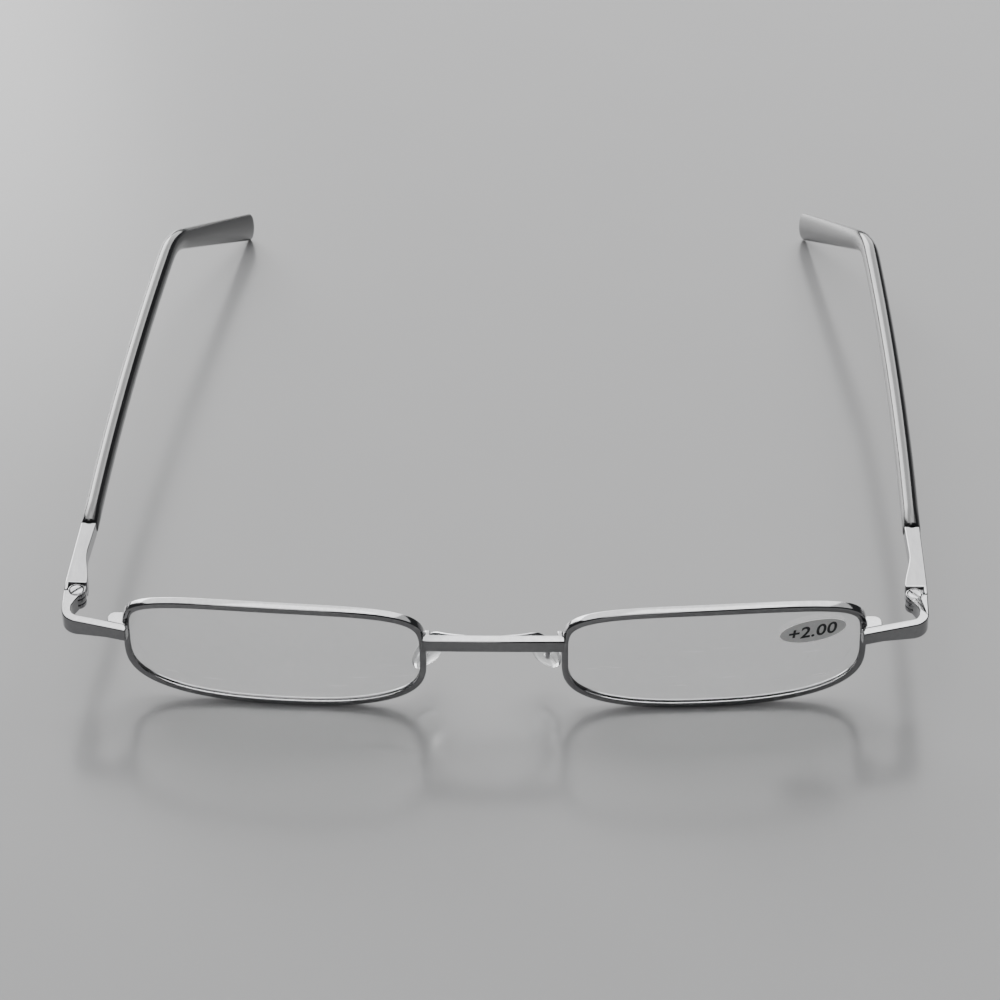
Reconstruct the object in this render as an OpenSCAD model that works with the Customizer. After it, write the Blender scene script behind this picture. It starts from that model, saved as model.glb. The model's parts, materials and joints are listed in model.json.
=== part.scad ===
// Slim metal reading glasses: two rims, a bridge, nose pads on a bent wire, and two folding temples.
// The parts are drawn with the front upright and then leaned so that rims and ear tips share one floor.

/* [Front] */
// Width over both end pieces
frame_w = 134; // [110:1:150]
// Width of the gap between the rims at the nose
nose_gap = 20.8; // [16:0.2:26]
// Width of one rim over its outside
rim_w = 47; // [38:0.5:50]
// Height of one rim over its outside
rim_h = 21.8; // [18:0.1:30]
// Thickness of the rim wire seen from the front
rim_face = 1.05; // [0.9:0.05:1.6]
// Depth of the rim wire from front to back
rim_depth = 1.55; // [1.5:0.05:2.6]
// Radius that the rims and lenses are curved to
base_r = 130; // [90:5:300]
// How far the curve's centre sits towards the nose from the rim's middle
wrap_offset = 9.5; // [0:0.5:14]
// How far the curve's centre sits above the rim's middle
wrap_rise = 2.6; // [0:0.1:4]
// Thickness of a lens
lens_t = 1; // [0.8:0.1:1]

/* [Bridge and nose pads] */
// Thickness of the bridge bar from front to back
bridge_t = 1.6; // [0.8:0.05:2]
// Height of the bridge bar
bridge_h = 2.3; // [1.5:0.05:4]
// Height of the bridge bar's middle above the rims' middle
bridge_rise = 4.4; // [0:0.1:6]
// How far the bridge bar stands forward of the rims at its ends
bridge_forward = 1.2; // [0.5:0.1:2]
// How far the middle of the bar bows forward of its ends
bridge_bow = 0.65; // [0.2:0.05:2]
// How far the middle of the bar arches above its ends
bridge_arch = 0.6; // [0.2:0.05:3]
// Diameter of the nose pad wire
wire_d = 0.86; // [0.7:0.02:1.2]
// Distance from the wire's middle to the middle of each pad
pad_reach = 9.2; // [7:0.1:11]
// How far the pad wire is soldered off the middle of the bridge
pad_shift = -1.3; // [-1.5:0.1:1.5]
// Height of a nose pad
pad_h = 7.5; // [7:0.1:14]
// Width of a nose pad
pad_w = 5.4; // [4:0.1:7]
// Thickness of a nose pad
pad_t = 2.2; // [2:0.1:3]

/* [End pieces and hinges] */
// Thickness of the end piece strip
strip_t = 1.4; // [1:0.05:1.6]
// Height of the end piece strip beside the rim
strip_h = 2.35; // [1.6:0.1:2.8]
// Height of the strip's top above the rims' middle
strip_rise = 4.15; // [2:0.05:6]
// Sweep of the strip back from the rim, in degrees
strip_sweep = 14.8; // [5:0.2:25]
// Outer radius of the end piece's corner
corner_r = 2.8; // [2:0.1:4]
// Distance from the end piece's outer face to the hinge pin
pin_inset = 2; // [1.9:0.05:2.6]
// Distance of the hinge pin behind the strip's front face at the corner
pin_back = 6.9; // [6:0.1:12]
// Height of the hinge over its two ears
hinge_h = 3; // [2.6:0.1:5]
// Radius of the hinge ears and tongue
knuckle_r = 1.42; // [1.3:0.02:1.5]
// Diameter of the hinge screw's shank
pin_d = 1.2; // [1:0.05:1.4]
// Diameter of the hinge screw's head
screw_head_d = 2; // [1.8:0.05:2.2]
// Diameter of the rim screw's shank
rim_screw_d = 0.9; // [0.8:0.05:1]

/* [Temples] */
// Length of a temple from the hinge pin to the bend
temple_len = 99; // [70:1:120]
// Length of the ear tip past the bend
tip_len = 37; // [25:1:50]
// Length of bare metal behind the hinge pin
bare_len = 17.3; // [12:0.1:30]
// Fall of the temple from square to the front, in degrees
temple_fall = 6.8; // [2:0.2:10]
// Fall of the ear tip, in degrees
tip_fall = 35; // [25:0.5:55]
// Turn of the ear tip towards the head, in degrees
tip_turn = 18.5; // [0:0.5:25]
// Radius of the bend over the ear
bend_r = 18; // [8:1:30]
// Slant of the ear tip's cut end from square, in degrees
tip_cut = 27; // [0:1:35]
// Inward sweep of the sleeve between its start and the bend
temple_bow = 3.2; // [0:0.1:6]
// Inward lean of the left temple when it stands open, in degrees
lean_left = 2.5; // [0:0.1:6]
// Inward lean of the right temple when it stands open, in degrees
lean_right = 0; // [0:0.1:6]
// Width of the metal temple in front of the sleeve
bar_w = 2.4; // [2:0.1:2.6]
// Width that the metal temple loses on its outer side between hinge and sleeve
bar_taper = 0.3; // [0:0.05:0.5]
// Width of the metal temple at its waist
waist_w = 2.15; // [1.8:0.05:2.4]
// Height of the metal temple in front of the sleeve
bar_h = 2.5; // [2:0.1:3]
// Width of the sleeve
sleeve_w = 2.9; // [2.7:0.05:4]
// Height of the sleeve
sleeve_h = 3.6; // [3:0.1:5]
// Thickness of the ear tip's paddle
paddle_t = 2; // [1.8:0.1:3]
// Height of the ear tip's paddle
paddle_h = 5.2; // [3.6:0.1:7]
// Diameter of the core wire inside the sleeve
core_d = 1.2; // [0.8:0.05:1.4]

/* [Power sticker] */
// Length of the oval sticker
sticker_l = 10.2; // [6:0.1:14]
// Height of the oval sticker
sticker_h = 4.5; // [2:0.1:6]

/* [Hidden] */

$fn = 64;
eps = 0.01;

// Clearances: a turning fit, a fixed fit, and the play between faces that pass each other
run_fit = 0.05;
fixed_fit = 0.02;
face_gap = 0.05;

// ---- Rims and lenses -------------------------------------------------------------------------
// The outline is a bowed rectangle: each quarter, counted from the upper outer one, is a
// superellipse with a power across and a power up
outline_steps = 72;
power_across = [2, 2.35, 3.4, 3.2];
power_up = [5.4, 4.6, 3.4, 3.2];
rim_cx = nose_gap / 2 + rim_w / 2;
rim_cz = rim_h / 2;
rim_edge_x = nose_gap / 2 + rim_w;
groove_depth = 0.45;
groove_play = 0.05;
lens_seat = groove_depth - groove_play;
lens_front = (rim_depth - lens_t) / 2;
curve_cx = rim_cx - wrap_offset;
curve_cz = rim_cz + wrap_rise;
rim_split = 0.16;

function spow(v, e) = sign(v) * pow(abs(v), e);
function outline_point(a, grow) =
    let (quarter = floor(a / 90),
         n = power_across[quarter],
         m = power_up[quarter],
         ux = spow(cos(a), 2 / n),
         uz = spow(sin(a), 2 / m),
         gx = n * spow(ux, n - 1) / (rim_w / 2),
         gz = m * spow(uz, m - 1) / (rim_h / 2),
         g = norm([gx, gz]))
    [rim_cx + rim_w / 2 * ux + grow * gx / g, rim_cz + rim_h / 2 * uz + grow * gz / g];
function outline(grow) =
    [for (i = [0 : outline_steps - 1]) outline_point(i * 360 / outline_steps, grow)];

// Depth of the curved front surface at a place on the front
function front_y(px, pz) =
    base_r - sqrt(base_r * base_r - pow(px - curve_cx, 2) - pow(pz - curve_cz, 2));

// ---- Bridge ----------------------------------------------------------------------------------
bridge_z = rim_cz + bridge_rise;
bridge_lap = 0.65;
bridge_half = nose_gap / 2 + bridge_lap;
bridge_end_y = front_y(bridge_half, bridge_z) - bridge_forward;
bridge_front_y = bridge_end_y - bridge_bow;
bow_r = (bridge_half * bridge_half + bridge_bow * bridge_bow) / (2 * bridge_bow);
arch_r = (bridge_half * bridge_half + bridge_arch * bridge_arch) / (2 * bridge_arch);

// ---- End pieces and hinges -------------------------------------------------------------------
strip_top = rim_cz + strip_rise;
strip_lap = 0.6;
strip_start_x = rim_edge_x - strip_lap;
block_front_y = front_y(rim_edge_x, strip_top) - 0.7;
strip_start_y = block_front_y - strip_t;
strip_run = frame_w / 2 - corner_r - strip_start_x;
corner_y = strip_start_y + strip_run * tan(strip_sweep);
pin_x = frame_w / 2 - pin_inset;
pin_y = corner_y + pin_back;
hinge_top = strip_top;
hinge_z = hinge_top - hinge_h / 2;
ear_t = hinge_h * 0.3;
tongue_h = hinge_h - 2 * ear_t - 2 * fixed_fit;

// ---- Closing blocks --------------------------------------------------------------------------
block_r = 1.3;
block_x = rim_edge_x + 1;
block_lap = 0.6;
block_room = 9;
block_top = strip_top - 0.1;
block_h = 3.2;
split_z = block_top - block_h / 2;
block_back_y = front_y(rim_edge_x, strip_top) + rim_depth + block_lap;
block_screw_y = block_back_y - block_r;

// ---- Temples ---------------------------------------------------------------------------------
bar_cx = pin_inset - bar_taper - bar_w / 2;
hinge_edge = knuckle_r + 0.16;
fall_dir = [0, cos(temple_fall), -sin(temple_fall)];
tip_dir = [-sin(tip_turn) * cos(tip_fall), cos(tip_turn) * cos(tip_fall), -sin(tip_fall)];
axis_start = [bar_cx, 0, 0];
function unit(v) = v / norm(v);

// The middle line runs straight beside the hinge and then curves gently inwards
bow_span = temple_len - bare_len;
function bow_part(s) = max(0, (s - bare_len) / bow_span);
function bowed_point(s) = axis_start + s * fall_dir - [temple_bow * pow(bow_part(s), 2), 0, 0];
function bowed_dir(s) = unit(fall_dir - [2 * temple_bow * bow_part(s) / bow_span, 0, 0]);

// Bend over the ear, tangent to the arm and to the ear tip
arm_dir = bowed_dir(temple_len);
bend_angle = acos(arm_dir * tip_dir);
bend_cut = bend_r * tan(bend_angle / 2);
bend_out = unit(tip_dir - arm_dir * (arm_dir * tip_dir));
bend_len = bend_r * bend_angle * PI / 180;
arm_len = temple_len - bend_cut;
bend_start = bowed_point(arm_len);
bend_dir = bowed_dir(arm_len);
tip_start = bend_start + bend_cut * (bend_dir + tip_dir);
full_len = arm_len + bend_len + tip_len - bend_cut;
core_end = full_len - 9;

// A point and a direction along the temple's middle line, from the hinge pin, at length s
function axis_point(s) =
    s < arm_len ? bowed_point(s)
    : s > arm_len + bend_len ? tip_start + (s - arm_len - bend_len) * tip_dir
    : let (t = (s - arm_len) / bend_len, corner = bend_start + bend_cut * bend_dir)
      pow(1 - t, 2) * bend_start + 2 * t * (1 - t) * corner + t * t * tip_start;
function axis_dir(s) =
    s < arm_len ? bowed_dir(s)
    : s > arm_len + bend_len ? tip_dir
    : let (t = (s - arm_len) / bend_len) unit((1 - t) * bend_dir + t * tip_dir);

// Half width and half height of the sleeve at length s: level, then a paddle with a cut end
function ease(v) = let (t = min(1, max(0, v))) t * t * (3 - 2 * t);
end_round = 0.8;
paddle_run = full_len - arm_len - 6;
function end_scale(s) =
    let (t = min(1, max(0, (s - full_len + end_round) / end_round))) 0.72 + 0.28 * sqrt(1 - t * t);
function half_w(s) =
    (sleeve_w + (paddle_t - sleeve_w) * ease((s - arm_len) / paddle_run)) / 2 * end_scale(s);
function half_h(s) =
    let (grow = (s - arm_len - bend_len / 2) / paddle_run)
    (sleeve_h + (paddle_h - sleeve_h) * min(1, max(0, grow))) / 2
        - (1 - end_scale(s)) * paddle_t / 2;

sleeve_sides = 24;
arm_parts = 8;
bend_parts = 6;
tip_parts = 6;
sleeve_stations = [
    bare_len,
    bare_len + 0.25,
    for (i = [1 : arm_parts - 1]) bare_len + (arm_len - bare_len) * i / arm_parts,
    for (i = [0 : bend_parts]) arm_len + bend_len * i / bend_parts,
    for (i = [1 : tip_parts])
        arm_len + bend_len + (full_len - end_round - arm_len - bend_len) * i / tip_parts,
    for (i = [1 : 4]) full_len - end_round + end_round * sin(i * 22.5)
];
core_sides = 12;
core_stations = [
    bare_len - 1,
    bare_len,
    for (i = [1 : arm_parts - 1]) bare_len + (arm_len - bare_len) * i / arm_parts,
    for (i = [0 : bend_parts]) arm_len + bend_len * i / bend_parts,
    core_end
];

// A ring of points round the middle line, half width w and half height h, slanted near the end
cut_run = 7;
function ring_point(s, w, h, a) =
    let (d = axis_dir(s),
         u = unit([d.y, -d.x, 0]),
         v = cross(u, d),
         slant = tan(tip_cut) * ease((s - full_len + cut_run) / cut_run))
    axis_point(s) + w * cos(a) * u + h * sin(a) * (v - slant * d);
function ring(s, w, h, sides) =
    [for (i = [0 : sides - 1]) ring_point(s, w, h, i * 360 / sides)];
function sleeve_rings() =
    [for (i = [0 : len(sleeve_stations) - 1])
        let (s = sleeve_stations[i], shrink = i == 0 ? 0.25 : 0)
        ring(s, half_w(s) - shrink, half_h(s) - shrink, sleeve_sides)];

// ---- Standing pose ---------------------------------------------------------------------------
// Contact points of the front and of an ear tip, then the lean that puts both on the floor
tip_rings = sleeve_rings();
function tip_low(a) = [for (lean = [lean_left, lean_right]) for (r = tip_rings) for (p = r)
    (p.y * cos(lean) + p.x * sin(lean)) * sin(a) + (p.z + hinge_z) * cos(a)];
function rim_low(a) =
    [for (q = outline(0)) front_y(q.x, q.y) * sin(a) + q.y * cos(a)];
function y_of_tip(a) = pin_y * sin(a) + min(tip_low(a)) - min(rim_low(a));
lean_guess = atan((paddle_h + temple_len * sin(temple_fall) + tip_len * sin(tip_fall) - hinge_z)
    / (pin_y + temple_len + tip_len * cos(tip_fall)));
function lean_step(a, n) =
    n == 0 ? a : lean_step(a - y_of_tip(a) / (temple_len + tip_len) * 180 / PI, n - 1);
front_lean = lean_step(lean_guess, 6);
stand_z = -min(rim_low(front_lean));

function lean_y(py, pz) = py * cos(front_lean) - pz * sin(front_lean);
front_most = min(
    lean_y(bridge_front_y, bridge_z + bridge_h / 2),
    min([for (q = outline(0)) lean_y(front_y(q.x, q.y), q.y)]));
function leant_tip(lean) =
    [for (r = tip_rings) for (p = r)
        lean_y(pin_y + p.y * cos(lean) + p.x * sin(lean), p.z + hinge_z)];
rear_most = max(max(leant_tip(lean_left)), max(leant_tip(lean_right)));
stand_y = -(front_most + rear_most) / 2;

module stand() {
    translate([0, stand_y, stand_z])
        rotate([front_lean, 0, 0])
            children();
}

module on_left() {
    mirror([1, 0, 0])
        children();
}

// ---- Shared shapes ---------------------------------------------------------------------------
chrome_look = [0.78, 0.79, 0.81];
wire_look = [0.7, 0.71, 0.74];
lens_look = [0.75, 0.85, 0.9, 0.35];
sleeve_look = [0.06, 0.06, 0.07];
pad_look = [0.85, 0.87, 0.88, 0.6];
sticker_look = [0.9, 0.9, 0.88];

// A bar with the rim's outline, running straight through the front
prism_front = -6;
prism_back = 16;
module outline_prism(grow) {
    translate([0, prism_back, 0])
        rotate([90, 0, 0])
            linear_extrude(prism_back - prism_front)
                polygon(outline(grow));
}

// A curved plate between two depths behind the rims' front surface
module curved_plate(from, to) {
    translate([curve_cx, base_r, curve_cz])
        difference() {
            sphere(r = base_r - from, $fn = 256);
            sphere(r = base_r - to, $fn = 256);
        }
}

// The room that a rim and its lens take, and all behind it
module rim_room() {
    intersection() {
        outline_prism(0);
        curved_plate(0, prism_back);
    }
}

// A solid skinned over rings of points that all have the same number of sides
module skin(rings) {
    n = len(rings[0]);
    last = len(rings) - 1;
    points = [for (r = rings) for (p = r) p];
    sides = [for (k = [0 : last - 1]) for (i = [0 : n - 1])
        let (a = k * n + i, b = k * n + (i + 1) % n)
        [a, b, b + n, a + n]];
    split = [for (f = sides) each [[f[0], f[1], f[2]], [f[0], f[2], f[3]]]];
    start = [[for (i = [0 : n - 1]) n - 1 - i]];
    end = [[for (i = [0 : n - 1]) last * n + i]];
    polyhedron(points = points, faces = concat(start, split, end));
}

// ---- Rims, lenses and sticker ----------------------------------------------------------------
module rim_shape() {
    difference() {
        intersection() {
            outline_prism(0);
            curved_plate(0, rim_depth);
        }
        outline_prism(-rim_face);
        intersection() {
            outline_prism(-rim_face + groove_depth);
            curved_plate(lens_front - groove_play, lens_front + lens_t + groove_play);
        }
        translate([rim_edge_x - 2 * rim_face, prism_front, split_z - rim_split / 2])
            cube([3 * rim_face, prism_back - prism_front, rim_split]);
    }
}

module lens_shape() {
    intersection() {
        outline_prism(-rim_face + lens_seat);
        curved_plate(lens_front, lens_front + lens_t);
    }
}

module rim_left() {
    color(chrome_look)
        stand() on_left() rim_shape();
}

module rim_right() {
    color(chrome_look)
        stand() rim_shape();
}

module lens_left() {
    color(lens_look)
        stand() on_left() lens_shape();
}

module lens_right() {
    color(lens_look)
        stand() lens_shape();
}

sticker_t = 0.1;
sticker_steps = 48;
sticker_out = 8.4;
sticker_up = 4.6;
sticker_tilt = 4;
module power_sticker() {
    oval = [for (i = [0 : sticker_steps - 1])
        [sticker_l / 2 * cos(i * 360 / sticker_steps), sticker_h / 2 * sin(i * 360 / sticker_steps)]];
    color(sticker_look)
        stand()
            translate([rim_edge_x - sticker_out, 0, rim_cz + sticker_up])
                intersection() {
                    translate([0, prism_back, 0])
                        rotate([90, 0, 0])
                            rotate(sticker_tilt)
                                linear_extrude(prism_back - prism_front)
                                    polygon(oval);
                    translate([sticker_out - rim_edge_x, 0, -rim_cz - sticker_up])
                        curved_plate(lens_front - sticker_t, lens_front);
                }
}

// ---- Bridge ----------------------------------------------------------------------------------
bridge_foot_w = 1.2;
bridge_foot_h = 1.5;
bridge_foot_l = 2.2;
bridge_foot_in = 0.5;
module bridge() {
    color(chrome_look)
        stand()
            difference() {
                union() {
                    intersection() {
                        // Bowed forward in plan
                        translate([0, bridge_front_y + bow_r, bridge_z - 2 * bridge_h])
                            difference() {
                                cylinder(r = bow_r, h = 4 * bridge_h, $fn = 256);
                                translate([0, 0, -eps])
                                    cylinder(r = bow_r - bridge_t, h = 4 * bridge_h + 2 * eps, $fn = 256);
                            }
                        // Arched upwards from the front
                        translate([0, 0, bridge_z + bridge_h / 2 - arch_r])
                            rotate([90, 0, 0])
                                translate([0, 0, -bridge_half])
                                    difference() {
                                        cylinder(r = arch_r, h = 2 * bridge_half, $fn = 256);
                                        translate([0, 0, -eps])
                                            cylinder(r = arch_r - bridge_h, h = 2 * bridge_half + 2 * eps,
                                                $fn = 256);
                                    }
                        translate([-bridge_half, bridge_front_y - 1, bridge_z - 2 * bridge_h])
                            cube([2 * bridge_half, bridge_bow + bridge_t + 2, 4 * bridge_h]);
                    }
                    for (side = [-1, 1])
                        translate([side * (nose_gap / 2 + rim_face - bridge_foot_w / 2 - bridge_foot_in),
                                   bridge_end_y + (bridge_t + bridge_foot_l) / 2,
                                   bridge_z - bridge_arch])
                            cube([bridge_foot_w, bridge_foot_l, bridge_foot_h], center = true);
                }
                rim_room();
                on_left() rim_room();
            }
}

// ---- Nose pads and their wire ----------------------------------------------------------------
wire_y = bridge_front_y + bridge_t + wire_d / 2;
pad_z = rim_cz - 3.75;
pad_y = wire_y + 5.2;
pad_turn = 32;
pad_lean = 10;
// Half of the wire, from the middle of the bridge to the pad, as knots of a smooth curve
wire_knots = [
    [-2.4, wire_y, bridge_z],
    [0, wire_y, bridge_z],
    [2.4, wire_y, bridge_z],
    [pad_reach - 3.6, wire_y + 1.1, bridge_z - 0.75],
    [pad_reach - 1.2, wire_y + 2.6, bridge_z - 1.9],
    [pad_reach + 0.2, wire_y + 3.1, bridge_z - 3.9],
    [pad_reach + 0.4, wire_y + 2.9, pad_z + 2.2],
    [pad_reach + 0.35, wire_y + 3.2, pad_z + 0.7],
    [pad_reach + 0.2, wire_y + 4.4, pad_z],
    [pad_reach + 0.1, wire_y + 5.2, pad_z]
];
wire_sides = 12;
wire_sub = 4;
function blend_knot(a, b, c, d, t) =
    0.5 * ((2 * b) + (c - a) * t + (2 * a - 5 * b + 4 * c - d) * t * t
        + (3 * b - a - 3 * c + d) * t * t * t);
wire_line = [
    for (k = [1 : len(wire_knots) - 3]) for (i = [0 : wire_sub - 1])
        blend_knot(wire_knots[k - 1], wire_knots[k], wire_knots[k + 1], wire_knots[k + 2], i / wire_sub),
    wire_knots[len(wire_knots) - 2]
];
wire_full = concat(
    [for (i = [len(wire_line) - 1 : -1 : 1]) [-wire_line[i].x, wire_line[i].y, wire_line[i].z]],
    wire_line);
function tube_ring(line, i) =
    let (a = line[max(0, i - 1)], b = line[min(len(line) - 1, i + 1)],
         d = (b - a) / norm(b - a),
         u0 = cross(d, [0, 0.35, 1]),
         u = u0 / norm(u0),
         v = cross(u, d))
    [for (k = [0 : wire_sides - 1])
        line[i] + wire_d / 2 * (cos(k * 360 / wire_sides) * u + sin(k * 360 / wire_sides) * v)];

module pad_wire() {
    color(wire_look)
        stand()
            translate([pad_shift, 0, 0])
                skin([for (i = [0 : len(wire_full) - 1]) tube_ring(wire_full, i)]);
}

// The pad is a teardrop with a flat back, lofted from bottom to top
pad_rings = 12;
pad_sides = 20;
function pad_half_w(t) = pad_w / 2 * sqrt(max(0.03, sin(180 * pow(t, 0.75))));
function pad_half_t(t) = pad_t / 2 * sqrt(max(0.05, sin(180 * pow(t, 0.9))));
function pad_loop(t) =
    [for (i = [0 : pad_sides - 1])
        let (a = -i * 360 / pad_sides)
        [pad_half_w(t) * cos(a), pad_half_t(t) * spow(sin(a), 0.8), pad_h * (t - 0.5)]];
pocket_play = 0.03;
module nose_pad() {
    difference() {
        translate([pad_reach, pad_y, pad_z])
            rotate([pad_lean, 0, -pad_turn])
                skin([for (k = [0 : pad_rings]) pad_loop(k / pad_rings)]);
        // Pocket for the end of the wire
        translate([pad_reach + 0.2, wire_y + 1.4, pad_z])
            rotate([-90, 0, 0])
                cylinder(d = wire_d + 2 * pocket_play, h = 3.1);
    }
}

module nose_pad_left() {
    color(pad_look)
        stand()
            translate([pad_shift, 0, 0])
                on_left() nose_pad();
}

module nose_pad_right() {
    color(pad_look)
        stand()
            translate([pad_shift, 0, 0])
                nose_pad();
}

// ---- End pieces ------------------------------------------------------------------------------
corner_steps = 10;
function arc(cx, cy, r, from, to) =
    [for (i = [0 : corner_steps])
        let (a = from + (to - from) * i / corner_steps)
        [cx + r * cos(a), cy + r * sin(a)]];

// Strip, rounded corner, side wall and the web to the knuckle, as one outline
module end_piece_plan() {
    turn_x = frame_w / 2 - corner_r;
    turn_y = corner_y + corner_r / cos(strip_sweep);
    wall_in = frame_w / 2 - strip_t;
    stop_y = pin_y - face_gap / 2;
    polygon(concat(
        [[strip_start_x, strip_start_y]],
        arc(turn_x, turn_y, corner_r, strip_sweep - 90, 0),
        [[frame_w / 2, stop_y], [pin_x, stop_y],
         [pin_x - knuckle_r * 0.6, pin_y - knuckle_r * 0.4],
         [wall_in - 0.4, pin_y - knuckle_r * 1.7],
         [wall_in, pin_y - knuckle_r * 2.3]],
        arc(turn_x, turn_y, corner_r - strip_t, 0, strip_sweep - 90),
        [[strip_start_x - strip_t * sin(strip_sweep), strip_start_y + strip_t * cos(strip_sweep)]]));
}

head_t = 0.5;
head_play = 0.06;
module end_piece() {
    low = hinge_top - hinge_h;
    slot_r = knuckle_r + 2 * face_gap;
    level_x = rim_edge_x + 2.6;
    full_x = frame_w / 2 - corner_r + 0.6;
    difference() {
        union() {
            translate([0, 0, low])
                linear_extrude(hinge_h)
                    end_piece_plan();
            translate([pin_x, pin_y, low])
                cylinder(r = knuckle_r, h = hinge_h);
        }
        // The underside rises towards the rim, to the strip's own height
        translate([0, prism_front, 0])
            rotate([-90, 0, 0])
                linear_extrude(pin_y - 2.5 * knuckle_r - prism_front)
                    polygon([
                        [strip_start_x - 1, strip_h - strip_top],
                        [level_x, strip_h - strip_top],
                        [full_x, 0.01 - low],
                        [full_x, 1 - low],
                        [strip_start_x - 1, 1 - low]
                    ]);
        // Slot for the temple's tongue, open inboard so that the temple can fold
        translate([pin_x, pin_y, hinge_z - tongue_h / 2 - fixed_fit])
            linear_extrude(tongue_h + 2 * fixed_fit)
                polygon(concat(arc(0, 0, slot_r, -90, 90),
                    [[-3 * knuckle_r, slot_r], [-3 * knuckle_r, -slot_r]]));
        // Screw: bore through both ears, and a recess for the head
        translate([pin_x, pin_y, low - 1])
            cylinder(d = pin_d + 2 * run_fit, h = hinge_h + 2);
        translate([pin_x, pin_y, hinge_top - head_t])
            cylinder(d = screw_head_d + 2 * head_play, h = 1);
    }
}

module end_piece_left() {
    color(chrome_look)
        stand() on_left() end_piece();
}

module end_piece_right() {
    color(chrome_look)
        stand() end_piece();
}

// ---- Closing blocks --------------------------------------------------------------------------
// Each rim is split beside the end piece, and the two blocks soldered to its ends clamp it shut
module block_plan() {
    intersection() {
        union() {
            translate([block_x, block_screw_y])
                circle(r = block_r);
            translate([strip_start_x, block_front_y - block_lap])
                square([block_x + block_r - strip_start_x, block_screw_y - block_front_y + block_lap]);
            translate([strip_start_x, block_front_y])
                square([block_x - strip_start_x, block_back_y - block_front_y]);
        }
        // Flush against the back of the strip
        translate([strip_start_x, strip_start_y])
            rotate(strip_sweep)
                translate([-block_room / 2, strip_t])
                    square(block_room);
    }
}

rim_head_d = 1.4;
rim_head_t = 0.5;
rim_screw_reach = 0.35;
module closing_block(from_z, to_z) {
    difference() {
        translate([0, 0, from_z])
            linear_extrude(to_z - from_z)
                block_plan();
        rim_room();
        translate([block_x, block_screw_y, split_z - block_h])
            cylinder(d = rim_screw_d + 2 * fixed_fit, h = 1.5 * block_h - rim_screw_reach);
        translate([block_x, block_screw_y, split_z - block_h])
            cylinder(d = rim_head_d + 2 * fixed_fit, h = block_h / 2 + rim_head_t);
    }
}

module upper_block() {
    closing_block(split_z + rim_split / 2, block_top);
}

module lower_block() {
    closing_block(split_z - block_h / 2, split_z - rim_split / 2);
}

module closing_block_upper_left() {
    color(chrome_look)
        stand() on_left() upper_block();
}

module closing_block_upper_right() {
    color(chrome_look)
        stand() upper_block();
}

module closing_block_lower_left() {
    color(chrome_look)
        stand() on_left() lower_block();
}

module closing_block_lower_right() {
    color(chrome_look)
        stand() lower_block();
}

// ---- Screws ----------------------------------------------------------------------------------
slot_w = 0.3;
slot_deep = 0.25;
slot_angle = -42;
module slotted_screw(shank_d, shank_len, head_d, head_h) {
    // Head on top, shank hanging below z = 0
    difference() {
        union() {
            cylinder(d = head_d, h = head_h);
            translate([0, 0, -shank_len])
                cylinder(d = shank_d, h = shank_len + eps);
        }
        rotate(slot_angle)
            translate([-head_d, -slot_w / 2, head_h - slot_deep])
                cube([2 * head_d, slot_w, 2 * slot_deep]);
    }
}

module hinge_screw() {
    translate([pin_x, pin_y, hinge_top - head_t + fixed_fit])
        slotted_screw(pin_d, hinge_h - head_t, screw_head_d, head_t);
}

module rim_screw() {
    translate([block_x, block_screw_y, split_z - block_h / 2 + rim_head_t])
        rotate([180, 0, 0])
            slotted_screw(rim_screw_d, block_h - rim_head_t - rim_screw_reach - 2 * fixed_fit,
                rim_head_d, rim_head_t);
}

module rim_screw_left() {
    color(wire_look)
        stand() on_left() rim_screw();
}

module rim_screw_right() {
    color(wire_look)
        stand() rim_screw();
}

module hinge_screw_left() {
    color(wire_look)
        stand() on_left() hinge_screw();
}

module hinge_screw_right() {
    color(wire_look)
        stand() hinge_screw();
}

// ---- Temples ---------------------------------------------------------------------------------
// The temple is drawn about its hinge pin, straight back, and then leant inwards
module at_hinge(lean) {
    translate([pin_x, pin_y, hinge_z])
        rotate(lean)
            children();
}

waist_y = 10;
bar_steps = 8;
function bar_outer(y) = pin_inset - bar_taper * max(0, (y - hinge_edge) / (bare_len - hinge_edge));
function bar_inner(y) =
    let (t = (y - hinge_edge) / (waist_y - hinge_edge),
         back = (y - waist_y) / (bare_len - waist_y),
         waist_in = bar_outer(waist_y) - waist_w,
         end_in = bar_outer(bare_len) - bar_w)
    t < 1 ? -knuckle_r + (waist_in + knuckle_r) * ease(t) : waist_in + (end_in - waist_in) * back;
module bar_plan() {
    polygon(concat(
        [[pin_inset, face_gap / 2], [pin_inset, hinge_edge],
         [bar_outer(bare_len), bare_len], [bar_inner(bare_len), bare_len]],
        [for (i = [0 : bar_steps])
            let (y = waist_y + (hinge_edge - waist_y) * i / bar_steps)
            [bar_inner(y), y]],
        [[pin_inset - 0.6, hinge_edge], [pin_inset - 0.6, face_gap / 2]]));
}

// Side view of the bar: level beside the hinge, then falling along the temple
module bar_side() {
    level = hinge_edge + 0.6;
    drop = (bare_len - level) * tan(temple_fall);
    top = hinge_h / 2;
    polygon([
        [-knuckle_r - 1, -top], [level, -top],
        [bare_len, -bar_h / 2 - bare_len * tan(temple_fall)],
        [bare_len, min(top - drop, bar_h / 2 - bare_len * tan(temple_fall))],
        [level, top], [-knuckle_r - 1, top]
    ]);
}

module core_wire() {
    skin([for (s = core_stations) ring(s, core_d / 2, core_d / 2, core_sides)]);
}

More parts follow.
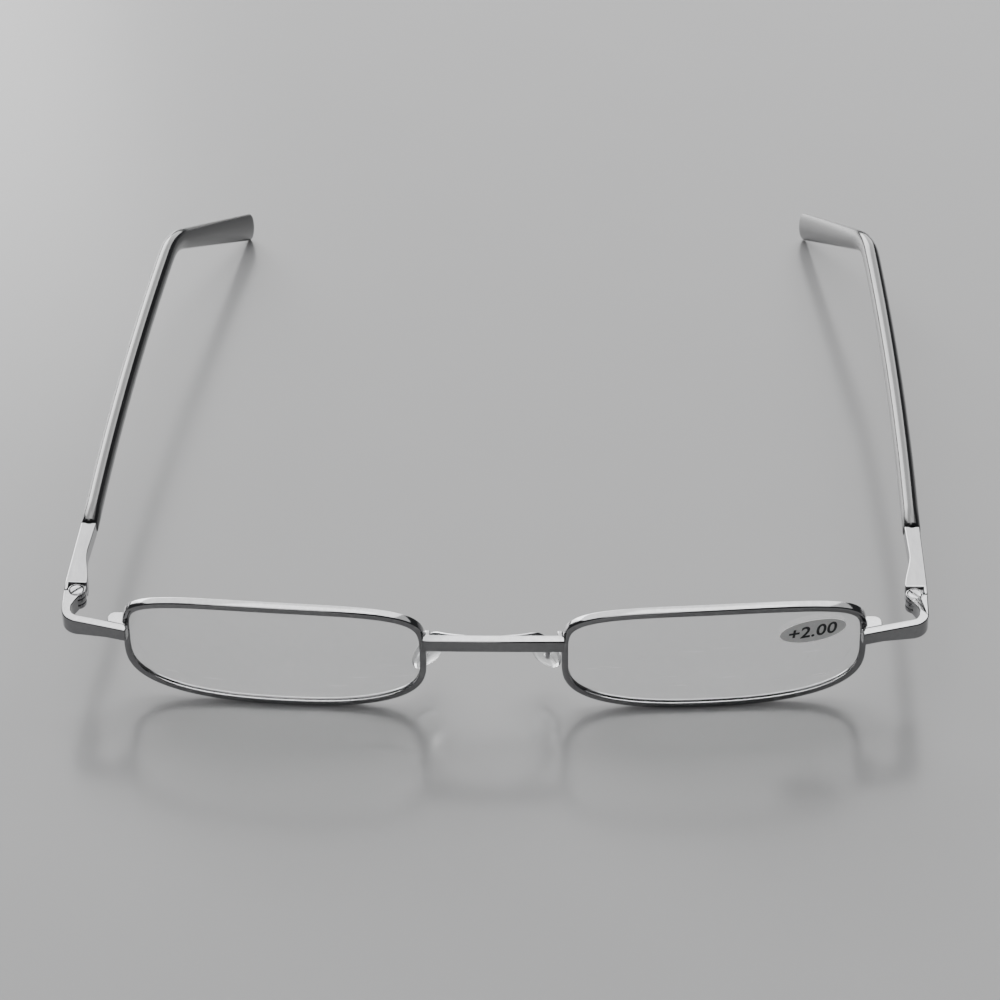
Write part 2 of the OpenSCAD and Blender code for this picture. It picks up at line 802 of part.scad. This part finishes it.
module temple_bar() {
    difference() {
        union() {
            intersection() {
                translate([0, 0, -2 * hinge_h])
                    linear_extrude(3 * hinge_h)
                        bar_plan();
                translate([-2 * knuckle_r, 0, 0])
                    rotate([90, 0, 90])
                        linear_extrude(4 * knuckle_r)
                            bar_side();
            }
            // Tongue between the ears
            translate([0, 0, -tongue_h / 2])
                linear_extrude(tongue_h)
                    union() {
                        circle(r = knuckle_r);
                        translate([-knuckle_r, 0])
                            square([2 * knuckle_r, hinge_edge + eps]);
                        translate([0, face_gap / 2])
                            square([pin_inset, hinge_edge]);
                    }
            core_wire();
        }
        cylinder(d = pin_d + 2 * run_fit, h = 2 * hinge_h, center = true);
        // Room for the round ears
        for (side = [-1, 1])
            translate([0, 0, side > 0 ? tongue_h / 2 : -hinge_h])
                cylinder(r = knuckle_r + 2 * face_gap, h = hinge_h - tongue_h / 2);
    }
}

module temple_bar_left() {
    color(chrome_look)
        stand() on_left() at_hinge(lean_left) temple_bar();
}

module temple_bar_right() {
    color(chrome_look)
        stand() at_hinge(lean_right) temple_bar();
}

// The sleeve is closed round the core: outer rings to the tip, then the channel back from its end
channel_r = core_d / 2 + fixed_fit + 0.01;
module temple_sleeve() {
    n = sleeve_sides;
    outer = tip_rings;
    inner = [for (k = [2 : len(core_stations) - 1])
        ring(core_stations[k], channel_r, channel_r, n)];
    deep = axis_point(core_end + 0.3);
    last = len(outer) - 1;
    deepest = len(inner) - 1;
    base = (last + 1) * n;
    mouth = base;
    opening = ring(bare_len, channel_r, channel_r, n);
    points = concat([for (r = outer) for (p = r) p], opening, [for (r = inner) for (p = r) p],
        [axis_point(full_len), deep]);
    outer_sides = [for (k = [0 : last - 1]) for (i = [0 : n - 1])
        let (a = k * n + i, b = k * n + (i + 1) % n)
        each [[a, b, b + n], [a, b + n, a + n]]];
    inner_sides = [for (k = [0 : deepest]) for (i = [0 : n - 1])
        let (a = mouth + k * n + i, b = mouth + k * n + (i + 1) % n)
        each [[a, b + n, b], [a, a + n, b + n]]];
    rim_faces = [for (i = [0 : n - 1])
        let (a = i, b = (i + 1) % n)
        each [[a, mouth + b, b], [a, mouth + a, mouth + b]]];
    tip_point = base + n + (deepest + 1) * n;
    deep_point = tip_point + 1;
    tip_cap = [for (i = [0 : n - 1]) [last * n + i, last * n + (i + 1) % n, tip_point]];
    deep_base = base + (deepest + 1) * n;
    deep_cap = [for (i = [0 : n - 1]) [deep_base + (i + 1) % n, deep_base + i, deep_point]];
    polyhedron(points = points,
        faces = concat(outer_sides, inner_sides, rim_faces, tip_cap, deep_cap));
}

module temple_sleeve_left() {
    color(sleeve_look)
        stand() on_left() at_hinge(lean_left) temple_sleeve();
}

module temple_sleeve_right() {
    color(sleeve_look)
        stand() at_hinge(lean_right) temple_sleeve();
}

rim_left();
rim_right();
lens_left();
lens_right();
power_sticker();
bridge();
pad_wire();
nose_pad_left();
nose_pad_right();
end_piece_left();
end_piece_right();
closing_block_upper_left();
closing_block_upper_right();
closing_block_lower_left();
closing_block_lower_right();
rim_screw_left();
rim_screw_right();
hinge_screw_left();
hinge_screw_right();
temple_bar_left();
temple_bar_right();
temple_sleeve_left();
temple_sleeve_right();
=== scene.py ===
"""Folding reading glasses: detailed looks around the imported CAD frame. Everything is in metres."""

import json
import math

import bmesh
import bpy
from mathutils import Matrix, Vector
from mathutils.bvhtree import BVHTree


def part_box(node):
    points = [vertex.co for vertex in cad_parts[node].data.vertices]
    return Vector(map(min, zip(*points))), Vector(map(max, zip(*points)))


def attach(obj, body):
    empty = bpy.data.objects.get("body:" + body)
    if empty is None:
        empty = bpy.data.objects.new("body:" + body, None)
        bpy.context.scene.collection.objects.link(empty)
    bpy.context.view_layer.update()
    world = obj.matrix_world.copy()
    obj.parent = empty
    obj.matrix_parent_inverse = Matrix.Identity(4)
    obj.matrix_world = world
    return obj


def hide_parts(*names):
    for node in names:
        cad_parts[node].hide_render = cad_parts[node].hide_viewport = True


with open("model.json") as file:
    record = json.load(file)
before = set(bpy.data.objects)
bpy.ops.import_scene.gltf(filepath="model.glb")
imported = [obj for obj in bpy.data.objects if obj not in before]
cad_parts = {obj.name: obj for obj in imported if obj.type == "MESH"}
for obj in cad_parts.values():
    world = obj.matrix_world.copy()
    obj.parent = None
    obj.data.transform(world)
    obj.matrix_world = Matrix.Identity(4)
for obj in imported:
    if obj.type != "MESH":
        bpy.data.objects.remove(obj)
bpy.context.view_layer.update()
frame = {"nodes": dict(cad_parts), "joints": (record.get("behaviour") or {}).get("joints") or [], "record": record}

MM = 0.001
SIDES = ("left", "right")

# ---- Camera and stage -------------------------------------------------------------------------
CAMERA_AT = Vector((0.01596, -0.6206, 0.42696))
CAMERA_LOOK = Vector((-0.0219, 0.8189, -0.5736))
CAMERA_ROLL = math.radians(-0.61)
CAMERA_LENS = 161.45
SENSOR_WIDTH = 36.0
NEAR_CLIP = 0.01
FLOOR_HALF = 3.0
FLOOR_CELLS = 8
FLOOR_SPECULAR = 0.35
WORLD_COLOR = (0.9, 0.95, 1.0, 1)
WORLD_STRENGTH = 0.06
OBJECT_MIDDLE = Vector((0, 0, 0))

# ---- Piece details ----------------------------------------------------------------------------
WELD = 2.0e-6
FLAT_ANGLE = math.radians(1.0)
SHARP_ANGLE = math.radians(35.0)
RIM_SHARP_ANGLE = math.radians(50.0)
ROOM_SHARE = 0.42
NORMAL_WEIGHT = 80
JOIN_FACE_ANGLE = math.radians(30.0)
JOIN_SHAPE_ANGLE = math.radians(60.0)
CREASE_ANGLE = math.radians(40.0)
CREASE = 0.7
SMOOTH_LEVELS = 1
NUMBER_ON_STICKER = "+2.00"
NUMBER_WIDTH = 7.6 * MM
NUMBER_LIFT = 0.03 * MM
NUMBER_SLANT = 0.18
NUMBER_BOLD = 0.018
NUMBER_SPACING = 1.04
NUMBER_WELD = 1e-5
SIGHT_FROM = Vector((0, -20 * MM, 0))
DROP_FROM = 5 * MM

# ---- Edge rounding of the machined pieces -------------------------------------------------------
END_PIECE_ROUND = 0.2 * MM
BLOCK_ROUND = 0.16 * MM
RIM_SCREW_ROUND = 0.06 * MM
HINGE_SCREW_ROUND = 0.08 * MM
BAR_ROUND = 0.2 * MM
LENS_ROUND = 0.05 * MM
BRIDGE_ROUND = 0.26 * MM
STICKER_ROUND = 0.03 * MM

# ---- Rim shape, in the front's own upright frame, with the sizes of part.scad --------------------
LEAN = math.asin(abs(frame["joints"][0]["axis"][1]))
RIM_LOW, RIM_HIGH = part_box("rim_right")
RIM_W = RIM_HIGH.x - RIM_LOW.x
RIM_H = 21.8 * MM
RIM_FACE = 1.05 * MM
RIM_DEPTH = 1.55 * MM
RIM_CX = (RIM_HIGH.x + RIM_LOW.x) / 2
RIM_CZ = RIM_H / 2
BASE_R = 130.0 * MM
WRAP_OFFSET = 9.5 * MM
WRAP_RISE = 2.6 * MM
CURVE_CX = RIM_CX - WRAP_OFFSET
CURVE_CZ = RIM_CZ + WRAP_RISE
POWER_ACROSS = (2.0, 2.35, 3.4, 3.2)
POWER_UP = (5.4, 4.6, 3.4, 3.2)
OUTER_ROUND = 0.24 * MM
LIP_ROUND = 0.09 * MM
GROOVE_AT = 0.6 * MM
GROOVE_HALF = 0.55 * MM
SPLIT_Z = 13.35 * MM
SPLIT_HALF = 0.08 * MM
RIM_STEPS = 300
ROUND_STEPS = 4
STEPS_PER_DEGREE = 8

# ---- Surface noise, in the materials ------------------------------------------------------------
BROAD_SHARE = 0.12
BROAD_DETAIL = 3.0
FINE_DETAIL = 6.0
RELIEF_STRENGTH = 0.5
RAMP_LOW = 0.3
RAMP_HIGH = 0.7
METAL_GRAIN = 1400.0
METAL_RELIEF = 0.002 * MM
METAL_SHADE = 0.06
CLEAR_GRAIN = 900.0
CLEAR_SHADE = 0.02


def material(name, color, metallic, roughness, spread, scale, bump, shade, stretch=(1, 1, 1)):
    """A principled material whose roughness, colour and bump vary with object-space noise."""
    mat = bpy.data.materials.new(name)
    mat.use_nodes = True
    nodes = mat.node_tree.nodes
    links = mat.node_tree.links
    shader = nodes["Principled BSDF"]
    shader.inputs["Metallic"].default_value = metallic
    coords = nodes.new("ShaderNodeTexCoord")
    mapping = nodes.new("ShaderNodeMapping")
    mapping.inputs["Scale"].default_value = stretch
    links.new(coords.outputs["Object"], mapping.inputs["Vector"])
    broad = noise(nodes, links, mapping, scale * BROAD_SHARE, BROAD_DETAIL)
    fine = noise(nodes, links, mapping, scale, FINE_DETAIL)
    rough = nodes.new("ShaderNodeMapRange")
    rough.inputs["To Min"].default_value = max(0.0, roughness - spread)
    rough.inputs["To Max"].default_value = roughness + spread
    links.new(broad.outputs["Fac"], rough.inputs["Value"])
    links.new(rough.outputs["Result"], shader.inputs["Roughness"])
    ramp = nodes.new("ShaderNodeValToRGB")
    ramp.color_ramp.elements[0].position = RAMP_LOW
    ramp.color_ramp.elements[1].position = RAMP_HIGH
    ramp.color_ramp.elements[0].color = [*(c * (1 - shade) for c in color), 1]
    ramp.color_ramp.elements[1].color = [*(min(1, c * (1 + shade)) for c in color), 1]
    links.new(fine.outputs["Fac"], ramp.inputs["Fac"])
    links.new(ramp.outputs["Color"], shader.inputs["Base Color"])
    relief = nodes.new("ShaderNodeBump")
    relief.inputs["Strength"].default_value = RELIEF_STRENGTH
    relief.inputs["Distance"].default_value = bump
    links.new(fine.outputs["Fac"], relief.inputs["Height"])
    links.new(relief.outputs["Normal"], shader.inputs["Normal"])
    return mat, shader


def noise(nodes, links, mapping, scale, detail):
    """A noise texture in object space."""
    node = nodes.new("ShaderNodeTexNoise")
    node.inputs["Scale"].default_value = scale
    node.inputs["Detail"].default_value = detail
    links.new(mapping.outputs["Vector"], node.inputs["Vector"])
    return node


def metal(name, color, roughness, spread, stretch=(1, 1, 1)):
    """Polished plated metal with faint rub marks."""
    return material(name, color, 1.0, roughness, spread, METAL_GRAIN, METAL_RELIEF, METAL_SHADE, stretch)[0]


def clear(name, color, roughness, spread, ior, bump):
    """A clear material that light passes through."""
    mat, shader = material(name, color, 0.0, roughness, spread, CLEAR_GRAIN, bump, CLEAR_SHADE)
    shader.inputs["Transmission Weight"].default_value = 1.0
    shader.inputs["IOR"].default_value = ior
    return mat


def sleeve_material():
    """Gloss black moulded plastic with handling marks along the temple."""
    black = (0.012, 0.012, 0.013)
    along = (1, 0.25, 1)
    mat, shader = material("sleeve_gloss_black", black, 0.0, 0.15, 0.06, 1100.0, 0.003 * MM, 0.3, along)
    shader.inputs["IOR"].default_value = 1.52
    shader.inputs["Coat Weight"].default_value = 0.5
    shader.inputs["Coat Roughness"].default_value = 0.08
    return mat


CHROME = metal("chrome_plate", (0.3, 0.3, 0.305), 0.1, 0.04)
BAR_CHROME = metal("chrome_plate_temple", (0.3, 0.3, 0.305), 0.13, 0.05, (1, 0.2, 1))
WIRE = metal("bright_wire", (0.42, 0.42, 0.43), 0.1, 0.04)
SCREW = metal("turned_screw", (0.34, 0.34, 0.35), 0.24, 0.08)
LENS = clear("lens_clear", (0.985, 0.99, 0.99), 0.006, 0.004, 1.5, 0.0)
SILICONE = clear("silicone_clear", (0.9, 0.91, 0.91), 0.06, 0.03, 1.41, 0.004 * MM)
SLEEVE = sleeve_material()
FILM = material("sticker_film", (0.92, 0.92, 0.91), 0.0, 0.42, 0.08, 1600.0, 0.004 * MM, 0.05)[0]
INK = material("sticker_ink", (0.035, 0.035, 0.038), 0.0, 0.5, 0.08, 2200.0, 0.002 * MM, 0.25)[0]


def new_object(name, mesh):
    """A new object in the scene."""
    piece = bpy.data.objects.new(name, mesh)
    bpy.context.scene.collection.objects.link(piece)
    return piece


def shade_smooth(mesh):
    """Smooth shading on every face."""
    mesh.polygons.foreach_set("use_smooth", [True] * len(mesh.polygons))


def welded(node):
    """The CAD node's mesh as a welded bmesh without the splits inside its flat faces."""
    shape = bmesh.new()
    shape.from_mesh(frame["nodes"][node].data)
    bmesh.ops.remove_doubles(shape, verts=shape.verts, dist=WELD)
    bmesh.ops.dissolve_degenerate(shape, dist=WELD / 2, edges=shape.edges)
    bmesh.ops.dissolve_limit(shape, angle_limit=FLAT_ANGLE, verts=shape.verts, edges=shape.edges)
    return shape


def place(piece, node, mat):
    """Gives a piece its material and slot and lets it stand for a CAD node."""
    piece.data.materials.clear()
    piece.data.materials.append(mat)
    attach(piece, body_of(node))
    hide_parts(node)


def body_of(node):
    """The body that a CAD node belongs to."""
    bodies = frame["record"]["behaviour"]["bodies"]
    return next(body for body, members in bodies.items() if node in members)


def edge_room(edge):
    """How much flat face there is beside an edge."""
    start = edge.verts[0].co
    along = (edge.verts[1].co - start).normalized()
    return min(
        max((v.co - start - along * (v.co - start).dot(along)).length for v in face.verts)
        for face in edge.link_faces
    )


def machined(node, mat, radius, steps=3):
    """A metal piece: the CAD shape with its outer edges rounded as far as its faces allow."""
    shape = welded(node)
    weights = shape.edges.layers.float.new("bevel_weight_edge")
    for edge in shape.edges:
        if len(edge.link_faces) == 2 and edge.calc_face_angle_signed() > SHARP_ANGLE:
            edge[weights] = min(1.0, ROOM_SHARE * edge_room(edge) / radius)
    mesh = bpy.data.meshes.new(node + "_detail")
    shape.to_mesh(mesh)
    shape.free()
    piece = new_object(node + "_detail", mesh)
    shade_smooth(mesh)
    bevel = piece.modifiers.new("edges", "BEVEL")
    bevel.width = radius
    bevel.segments = steps
    bevel.limit_method = "WEIGHT"
    bevel.use_clamp_overlap = False
    bevel.harden_normals = False
    weight = piece.modifiers.new("normals", "WEIGHTED_NORMAL")
    weight.keep_sharp = True
    weight.weight = NORMAL_WEIGHT
    place(piece, node, mat)


def front_depth(x, z):
    """Depth of the curved front surface at a place on the front."""
    return BASE_R - math.sqrt(BASE_R**2 - (x - CURVE_CX) ** 2 - (z - CURVE_CZ) ** 2)


def signed_power(value, power):
    """A power that keeps its sign."""
    return math.copysign(abs(value) ** power, value)


def outline_point(angle):
    """A point on the outside of the right rim and the direction outwards from it."""
    quarter = int(angle // 90) % 4
    across = POWER_ACROSS[quarter]
    up = POWER_UP[quarter]
    ux = signed_power(math.cos(math.radians(angle)), 2 / across)
    uz = signed_power(math.sin(math.radians(angle)), 2 / up)
    slope_x = across * signed_power(ux, across - 1) / (RIM_W / 2)
    slope_z = up * signed_power(uz, up - 1) / (RIM_H / 2)
    size = math.hypot(slope_x, slope_z)
    place_at = (RIM_CX + RIM_W / 2 * ux, RIM_CZ + RIM_H / 2 * uz)
    return place_at, (slope_x / size, slope_z / size)


def rim_route():
    """Even steps round the rim, from just above the closing screw's split to just below it."""
    fine = [outline_point(k / STEPS_PER_DEGREE) for k in range(360 * STEPS_PER_DEGREE)]
    first_quarter = fine[: 90 * STEPS_PER_DEGREE]
    start = next(k for k, (at, _) in enumerate(fine) if at[1] > SPLIT_Z + SPLIT_HALF)
    stop = max(k for k, (at, _) in enumerate(first_quarter) if at[1] < SPLIT_Z - SPLIT_HALF)
    loop = fine[start:] + fine[: stop + 1]
    run = [0.0]
    for (a, _), (b, _) in zip(loop, loop[1:]):
        run.append(run[-1] + math.dist(a, b))
    route = []
    k = 0
    for step in range(RIM_STEPS + 1):
        want = run[-1] * step / RIM_STEPS
        while k < len(run) - 2 and run[k + 1] < want:
            k += 1
        part = (want - run[k]) / (run[k + 1] - run[k])
        at = Vector(loop[k][0]).lerp(Vector(loop[k + 1][0]), part)
        out = Vector(loop[k][1]).lerp(Vector(loop[k + 1][1]), part).normalized()
        route.append((at, out))
    return route


def rounded(corner, before, after, radius):
    """Points on the rounded corner of a profile."""
    centre = corner + (before + after) * radius
    points = []
    for k in range(ROUND_STEPS + 1):
        turn = math.pi / 2 * k / ROUND_STEPS
        points.append(centre - after * radius * math.cos(turn) - before * radius * math.sin(turn))
    return points


def rim_profile():
    """The rim's section: distance in from the outside, and depth behind the front surface."""
    inward = Vector((1, 0))
    back = Vector((0, 1))
    middle = RIM_DEPTH / 2
    profile = rounded(Vector((0, 0)), back, inward, OUTER_ROUND)
    profile += rounded(Vector((RIM_FACE, 0)), -inward, back, LIP_ROUND)
    profile += [
        Vector((RIM_FACE, middle - GROOVE_HALF)),
        Vector((GROOVE_AT, middle - GROOVE_HALF)),
        Vector((GROOVE_AT, middle + GROOVE_HALF)),
        Vector((RIM_FACE, middle + GROOVE_HALF)),
    ]
    profile += rounded(Vector((RIM_FACE, RIM_DEPTH)), -back, -inward, LIP_ROUND)
    profile += rounded(Vector((0, RIM_DEPTH)), inward, -back, OUTER_ROUND)
    return profile


def rim_point(at, out, section):
    """A point of the right rim's skin, with its top leant forward as the front stands."""
    x = at.x - out.x * section.x
    z = at.y - out.y * section.x
    y = front_depth(at.x, at.y) + section.y
    return Matrix.Rotation(LEAN, 3, "X") @ Vector((x, y, z))


def swept_rim(side):
    """A grooved rim with rounded outer edges, swept round the lens outline."""
    profile = rim_profile()
    shape = bmesh.new()
    rings = []
    for at, out in rim_route():
        rings.append([shape.verts.new(rim_point(at, out, section)) for section in profile])
    count = len(profile)
    for a, b in zip(rings, rings[1:]):
        for k in range(count):
            face = shape.faces.new((a[k], a[(k + 1) % count], b[(k + 1) % count], b[k]))
            face.smooth = True
    shape.faces.new(rings[0])
    shape.faces.new(rings[-1][::-1])
    low = Vector([min(v.co[k] for v in shape.verts) for k in range(3)])
    bmesh.ops.translate(shape, verts=shape.verts, vec=RIM_LOW - low)
    if side == "left":
        bmesh.ops.scale(shape, verts=shape.verts, vec=(-1, 1, 1))
    bmesh.ops.recalc_face_normals(shape, faces=shape.faces)
    for edge in shape.edges:
        edge.smooth = edge.calc_face_angle(0) < RIM_SHARP_ANGLE
    mesh = bpy.data.meshes.new("rim_" + side + "_detail")
    shape.to_mesh(mesh)
    shape.free()
    piece = new_object(mesh.name, mesh)
    place(piece, "rim_" + side, CHROME)


def moulded(node, mat):
    """A smooth swept or moulded piece: the CAD facets joined into quads and subdivided."""
    shape = bmesh.new()
    shape.from_mesh(frame["nodes"][node].data)
    bmesh.ops.remove_doubles(shape, verts=shape.verts, dist=WELD)
    bmesh.ops.dissolve_degenerate(shape, dist=WELD / 2, edges=shape.edges)
    bmesh.ops.join_triangles(
        shape,
        faces=shape.faces,
        angle_face_threshold=JOIN_FACE_ANGLE,
        angle_shape_threshold=JOIN_SHAPE_ANGLE,
    )
    creases = shape.edges.layers.float.new("crease_edge")
    for edge in shape.edges:
        if len(edge.link_faces) == 2 and edge.calc_face_angle() > CREASE_ANGLE:
            edge[creases] = CREASE
    mesh = bpy.data.meshes.new(node + "_detail")
    shape.to_mesh(mesh)
    shape.free()
    piece = new_object(node + "_detail", mesh)
    shade_smooth(mesh)
    smooth = piece.modifiers.new("smooth", "SUBSURF")
    smooth.levels = SMOOTH_LEVELS
    smooth.render_levels = SMOOTH_LEVELS
    place(piece, node, mat)


def sticker_number():
    """A generic lens power in thin ink that follows the curved face of the sticker."""
    low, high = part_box("power_sticker")
    middle = (low + high) / 2
    shape = bmesh.new()
    shape.from_mesh(frame["nodes"]["power_sticker"].data)
    faces = BVHTree.FromBMesh(shape)
    shape.free()
    hit, normal, _, _ = faces.ray_cast(middle + SIGHT_FROM, -SIGHT_FROM.normalized())
    along = Vector((1, 0, 0)) - normal * normal.x
    along.normalize()
    turn = sticker_turn(normal, along, middle)
    along = Matrix.Rotation(turn, 3, normal) @ along
    upward = along.cross(normal).normalized()
    if upward.z < 0:
        upward.negate()
    text = bpy.data.curves.new("sticker_number", "FONT")
    text.body = NUMBER_ON_STICKER
    text.align_x = "CENTER"
    text.align_y = "CENTER"
    text.offset = NUMBER_BOLD
    text.shear = NUMBER_SLANT
    text.space_character = NUMBER_SPACING
    source = new_object("sticker_number_source", text)
    bpy.context.view_layer.update()
    graph = bpy.context.evaluated_depsgraph_get()
    mesh = bpy.data.meshes.new_from_object(source.evaluated_get(graph))
    bpy.data.objects.remove(source)
    cut = bmesh.new()
    cut.from_mesh(mesh)
    bmesh.ops.remove_doubles(cut, verts=cut.verts, dist=NUMBER_WELD)
    bmesh.ops.subdivide_edges(cut, edges=cut.edges, cuts=1)
    bmesh.ops.triangulate(cut, faces=cut.faces)
    xs = [v.co.x for v in cut.verts]
    ys = [v.co.y for v in cut.verts]
    scale = NUMBER_WIDTH / (max(xs) - min(xs))
    mid_x = (max(xs) + min(xs)) / 2
    mid_y = (max(ys) + min(ys)) / 2
    for v in cut.verts:
        flat = hit + along * (v.co.x - mid_x) * scale + upward * (v.co.y - mid_y) * scale
        seat, _, _, _ = faces.ray_cast(flat + normal * DROP_FROM, -normal)
        v.co = (seat or flat) + normal * NUMBER_LIFT
    cut.to_mesh(mesh)
    cut.free()
    mesh.name = "sticker_number"
    piece = new_object("sticker_number", mesh)
    mesh.materials.append(INK)
    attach(piece, "front")


def sticker_turn(normal, along, middle):
    """How far the long axis of the sticker is turned in its own plane."""
    upward = normal.cross(along)
    sum_xx = 0.0
    sum_yy = 0.0
    sum_xy = 0.0
    for v in frame["nodes"]["power_sticker"].data.vertices:
        offset = v.co - middle
        x = offset.dot(along)
        y = offset.dot(upward)
        sum_xx += x * x
        sum_yy += y * y
        sum_xy += x * y
    return 0.5 * math.atan2(2 * sum_xy, sum_xx - sum_yy)


def add_panel(name, at, width, height, power):
    """A soft rectangular light that points at the object."""
    data = bpy.data.lights.new(name, "AREA")
    data.shape = "RECTANGLE"
    data.size = width
    data.size_y = height
    data.energy = power
    lamp = bpy.data.objects.new(name, data)
    lamp.location = at
    lamp.rotation_euler = (OBJECT_MIDDLE - Vector(at)).to_track_quat("-Z", "Y").to_euler()
    bpy.context.scene.collection.objects.link(lamp)


def build_camera():
    """The photograph's viewpoint."""
    data = bpy.data.cameras.new("camera")
    data.lens = CAMERA_LENS
    data.sensor_width = SENSOR_WIDTH
    data.clip_start = NEAR_CLIP
    camera = bpy.data.objects.new("camera", data)
    turn = CAMERA_LOOK.to_track_quat("-Z", "Y").to_matrix().to_4x4()
    camera.matrix_world = Matrix.Translation(CAMERA_AT) @ turn @ Matrix.Rotation(CAMERA_ROLL, 4, "Z")
    bpy.context.scene.collection.objects.link(camera)
    bpy.context.scene.camera = camera


def build_stage():
    """A plain pale floor, four soft panels behind and above the object, and a weak front fill."""
    shape = bmesh.new()
    bmesh.ops.create_grid(shape, x_segments=FLOOR_CELLS, y_segments=FLOOR_CELLS, size=FLOOR_HALF)
    mesh = bpy.data.meshes.new("floor")
    shape.to_mesh(mesh)
    shape.free()
    floor = new_object("floor", mesh)
    mat, shader = material("floor_pale", (0.26, 0.26, 0.262), 0.0, 0.2, 0.02, 40.0, 0.0, 0.01)
    shader.inputs["Specular IOR Level"].default_value = FLOOR_SPECULAR
    mesh.materials.append(mat)
    world = bpy.data.worlds.new("studio")
    world.use_nodes = True
    background = world.node_tree.nodes["Background"]
    background.inputs["Color"].default_value = WORLD_COLOR
    background.inputs["Strength"].default_value = WORLD_STRENGTH
    bpy.context.scene.world = world
    add_panel("panel_back", (-0.16, 1.13, 0.97), 2.0, 2.0, 46.0)
    add_panel("panel_left", (-0.709, 1.228, 0.488), 1.0, 0.75, 16.0)
    add_panel("panel_top", (-0.16, 0.05, 1.5), 2.0, 0.75, 11.0)
    add_panel("panel_right", (0.65, 0.84, 1.06), 0.95, 0.85, 3.4)
    add_panel("fill_front", (-0.3, -1.2, 1.1), 0.7, 0.7, 2.4)


build_camera()
build_stage()

for side in SIDES:
    swept_rim(side)
    machined("end_piece_" + side, CHROME, END_PIECE_ROUND, steps=4)
    machined("closing_block_upper_" + side, CHROME, BLOCK_ROUND)
    machined("closing_block_lower_" + side, CHROME, BLOCK_ROUND)
    machined("rim_screw_" + side, SCREW, RIM_SCREW_ROUND, steps=2)
    machined("hinge_screw_" + side, SCREW, HINGE_SCREW_ROUND, steps=2)
    machined("temple_bar_" + side, BAR_CHROME, BAR_ROUND)
    moulded("temple_sleeve_" + side, SLEEVE)
    moulded("nose_pad_" + side, SILICONE)
    machined("lens_" + side, LENS, LENS_ROUND, steps=2)
machined("bridge", CHROME, BRIDGE_ROUND, steps=5)
moulded("pad_wire", WIRE)
machined("power_sticker", FILM, STICKER_ROUND, steps=2)
sticker_number()

bpy.context.view_layer.update()
